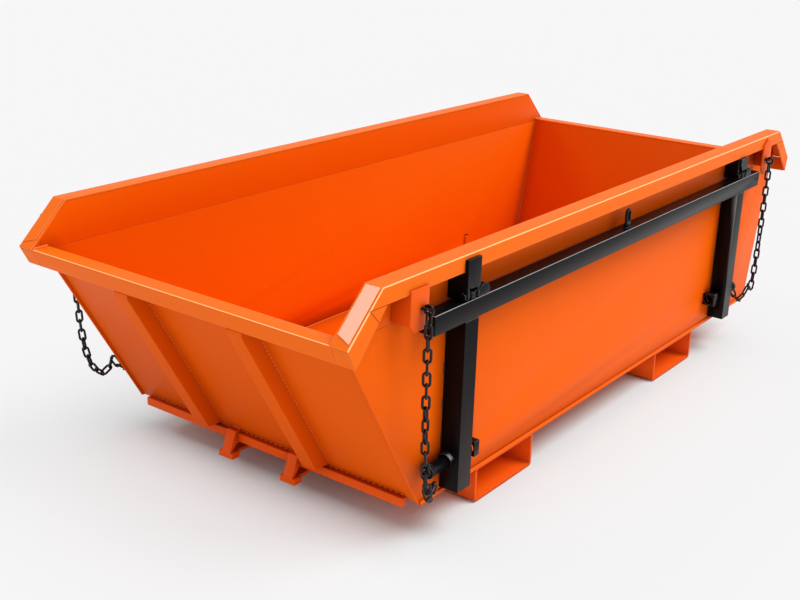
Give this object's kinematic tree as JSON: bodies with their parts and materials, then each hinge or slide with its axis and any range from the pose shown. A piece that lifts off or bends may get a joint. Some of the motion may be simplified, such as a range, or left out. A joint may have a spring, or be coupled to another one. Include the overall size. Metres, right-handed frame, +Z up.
{
  "type": "builders skip",
  "caption": "Open-topped steel skip with a sloped tipping end, folded rims, top-hinged side flaps, locking bolts, safety chains and fork pockets.",
  "frame": {"origin": "on the ground under the middle of the rims", "axes": "+X along the skip to the steep end, +Y across it to the far side, +Z up"},
  "size_m": [2.3, 1.068, 0.668],
  "materials": {
    "shell_paint": "satin",
    "side_paint": "satin",
    "rim_paint": "satin",
    "fitting_paint": "satin",
    "frame_black": "satin",
    "chain_black": "satin"
  },
  "bodies": {
    "skip_body": {"bolt_keeper_far_left": "frame_black", "bolt_keeper_far_right": "frame_black", "bolt_keeper_near_left": "frame_black", "bolt_keeper_near_right": "frame_black", "bottom_rail": "fitting_paint", "chain_bracket_far_left": "fitting_paint", "chain_bracket_far_right": "fitting_paint", "chain_bracket_near_left": "fitting_paint", "chain_bracket_near_right": "fitting_paint", "chain_eye_far_left": "frame_black", "chain_eye_far_right": "frame_black", "chain_eye_near_left": "frame_black", "chain_eye_near_right": "frame_black", "end_rim_left": "rim_paint", "end_rim_right": "rim_paint", "end_wall_left": "shell_paint", "end_wall_right": "shell_paint", "floor_plate": "shell_paint", "fork_pocket_left": "fitting_paint", "fork_pocket_right": "fitting_paint", "header_plate_far": "side_paint", "header_plate_near": "side_paint", "hinge_hanger_far_left": "frame_black", "hinge_hanger_far_right": "frame_black", "hinge_hanger_near_left": "frame_black", "hinge_hanger_near_right": "frame_black", "hinge_pin_far_left": "frame_black", "hinge_pin_far_right": "frame_black", "hinge_pin_near_left": "frame_black", "hinge_pin_near_right": "frame_black", "long_rim_far": "rim_paint", "long_rim_near": "rim_paint", "rib_left_far": "shell_paint", "rib_left_near": "shell_paint", "rib_right_far": "shell_paint", "rib_right_near": "shell_paint", "tipping_hook_far": "fitting_paint", "tipping_hook_near": "fitting_paint"},
    "flap_near": {"cross_bar_near": "frame_black", "flap_plate_near": "side_paint", "flap_post_near_left": "frame_black", "flap_post_near_right": "frame_black", "hinge_ear_near_left": "frame_black", "hinge_ear_near_right": "frame_black", "lifting_lug_near": "frame_black"},
    "bolt_near_left": {"locking_bolt_near_left": "frame_black"},
    "chain_near_left": {"safety_chain_near_left": "chain_black"},
    "bolt_near_right": {"locking_bolt_near_right": "frame_black"},
    "chain_near_right": {"safety_chain_near_right": "chain_black"},
    "flap_far": {"cross_bar_far": "frame_black", "flap_plate_far": "side_paint", "flap_post_far_left": "frame_black", "flap_post_far_right": "frame_black", "hinge_ear_far_left": "frame_black", "hinge_ear_far_right": "frame_black", "lifting_lug_far": "frame_black"},
    "bolt_far_left": {"locking_bolt_far_left": "frame_black"},
    "chain_far_left": {"safety_chain_far_left": "chain_black"},
    "bolt_far_right": {"locking_bolt_far_right": "frame_black"},
    "chain_far_right": {"safety_chain_far_right": "chain_black"}
  },
  "joints": [
    {"name": "flap_near_swing", "type": "hinge", "parent": "skip_body", "child": "flap_near", "pos_m": [0, -0.5, 0.576], "axis": [-1, 0, 0], "range_deg": [0, 85]},
    {"name": "bolt_near_left_slide", "type": "slide", "parent": "flap_near", "child": "bolt_near_left", "axis": [1, 0, 0], "range_m": [0, 0.03]},
    {"name": "chain_near_left_swing", "type": "hinge", "parent": "skip_body", "child": "chain_near_left", "pos_m": [-0.921, -0.5208, 0.597], "axis": [-1, 0, 0], "range_deg": [0, 82]},
    {"name": "bolt_near_right_slide", "type": "slide", "parent": "flap_near", "child": "bolt_near_right", "axis": [-1, 0, 0], "range_m": [0, 0.03]},
    {"name": "chain_near_right_swing", "type": "hinge", "parent": "skip_body", "child": "chain_near_right", "pos_m": [0.921, -0.5208, 0.597], "axis": [-1, 0, 0], "range_deg": [0, 82]},
    {"name": "flap_far_swing", "type": "hinge", "parent": "skip_body", "child": "flap_far", "pos_m": [0, 0.5, 0.576], "axis": [1, 0, 0], "range_deg": [0, 85]},
    {"name": "bolt_far_left_slide", "type": "slide", "parent": "flap_far", "child": "bolt_far_left", "axis": [1, 0, 0], "range_m": [0, 0.03]},
    {"name": "chain_far_left_swing", "type": "hinge", "parent": "skip_body", "child": "chain_far_left", "pos_m": [-0.981, 0.5208, 0.597], "axis": [1, 0, 0], "range_deg": [0, 82]},
    {"name": "bolt_far_right_slide", "type": "slide", "parent": "flap_far", "child": "bolt_far_right", "axis": [-1, 0, 0], "range_m": [0, 0.03]},
    {"name": "chain_far_right_swing", "type": "hinge", "parent": "skip_body", "child": "chain_far_right", "pos_m": [0.921, 0.5208, 0.597], "axis": [1, 0, 0], "range_deg": [0, 82]}
  ],
  "couplings": [
    {"joint": "chain_near_left_swing", "follows": "flap_near_swing", "ratio": 0.96},
    {"joint": "chain_near_right_swing", "follows": "flap_near_swing", "ratio": 0.96},
    {"joint": "chain_far_left_swing", "follows": "flap_far_swing", "ratio": 0.96},
    {"joint": "chain_far_right_swing", "follows": "flap_far_swing", "ratio": 0.96}
  ]
}
